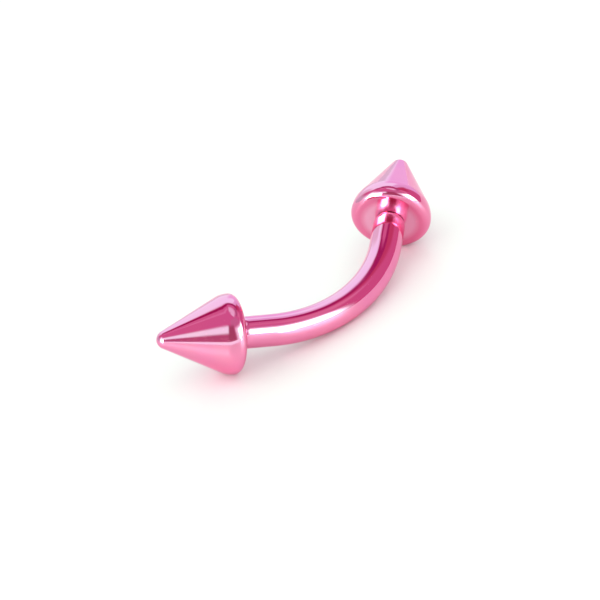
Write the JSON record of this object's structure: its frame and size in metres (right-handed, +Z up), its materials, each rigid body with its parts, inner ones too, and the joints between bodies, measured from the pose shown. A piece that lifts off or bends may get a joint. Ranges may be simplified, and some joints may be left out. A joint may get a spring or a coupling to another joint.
{
  "type": "curved eyebrow barbell",
  "caption": "Curved eyebrow barbell: a bent round bar with a cone screwed onto each end, in mirror-polished pink metal.",
  "frame": {"origin": "on the floor that the barbell lies on, under the middle of its outline", "axes": "+X from the left cone to the right cone, +Y to the back, where the cones lean, +Z up from the floor"},
  "size_m": [0.0138, 0.0038, 0.0029],
  "materials": {
    "pink_metal": "mirror-polished steel with a thin pink coating, lilac in bright light"
  },
  "bodies": {
    "bar": {"bar": "pink_metal"},
    "left_cone": {"left_cone": "pink_metal"},
    "right_cone": {"right_cone": "pink_metal"}
  },
  "joints": [
    {"name": "left_cone_off", "type": "slide", "parent": "bar", "child": "left_cone", "axis": [-0.829, 0.4962, 0.2578], "range_m": [0, 0.0025]},
    {"name": "right_cone_off", "type": "slide", "parent": "bar", "child": "right_cone", "axis": [0.829, 0.4962, 0.2578], "range_m": [0, 0.0025]}
  ]
}
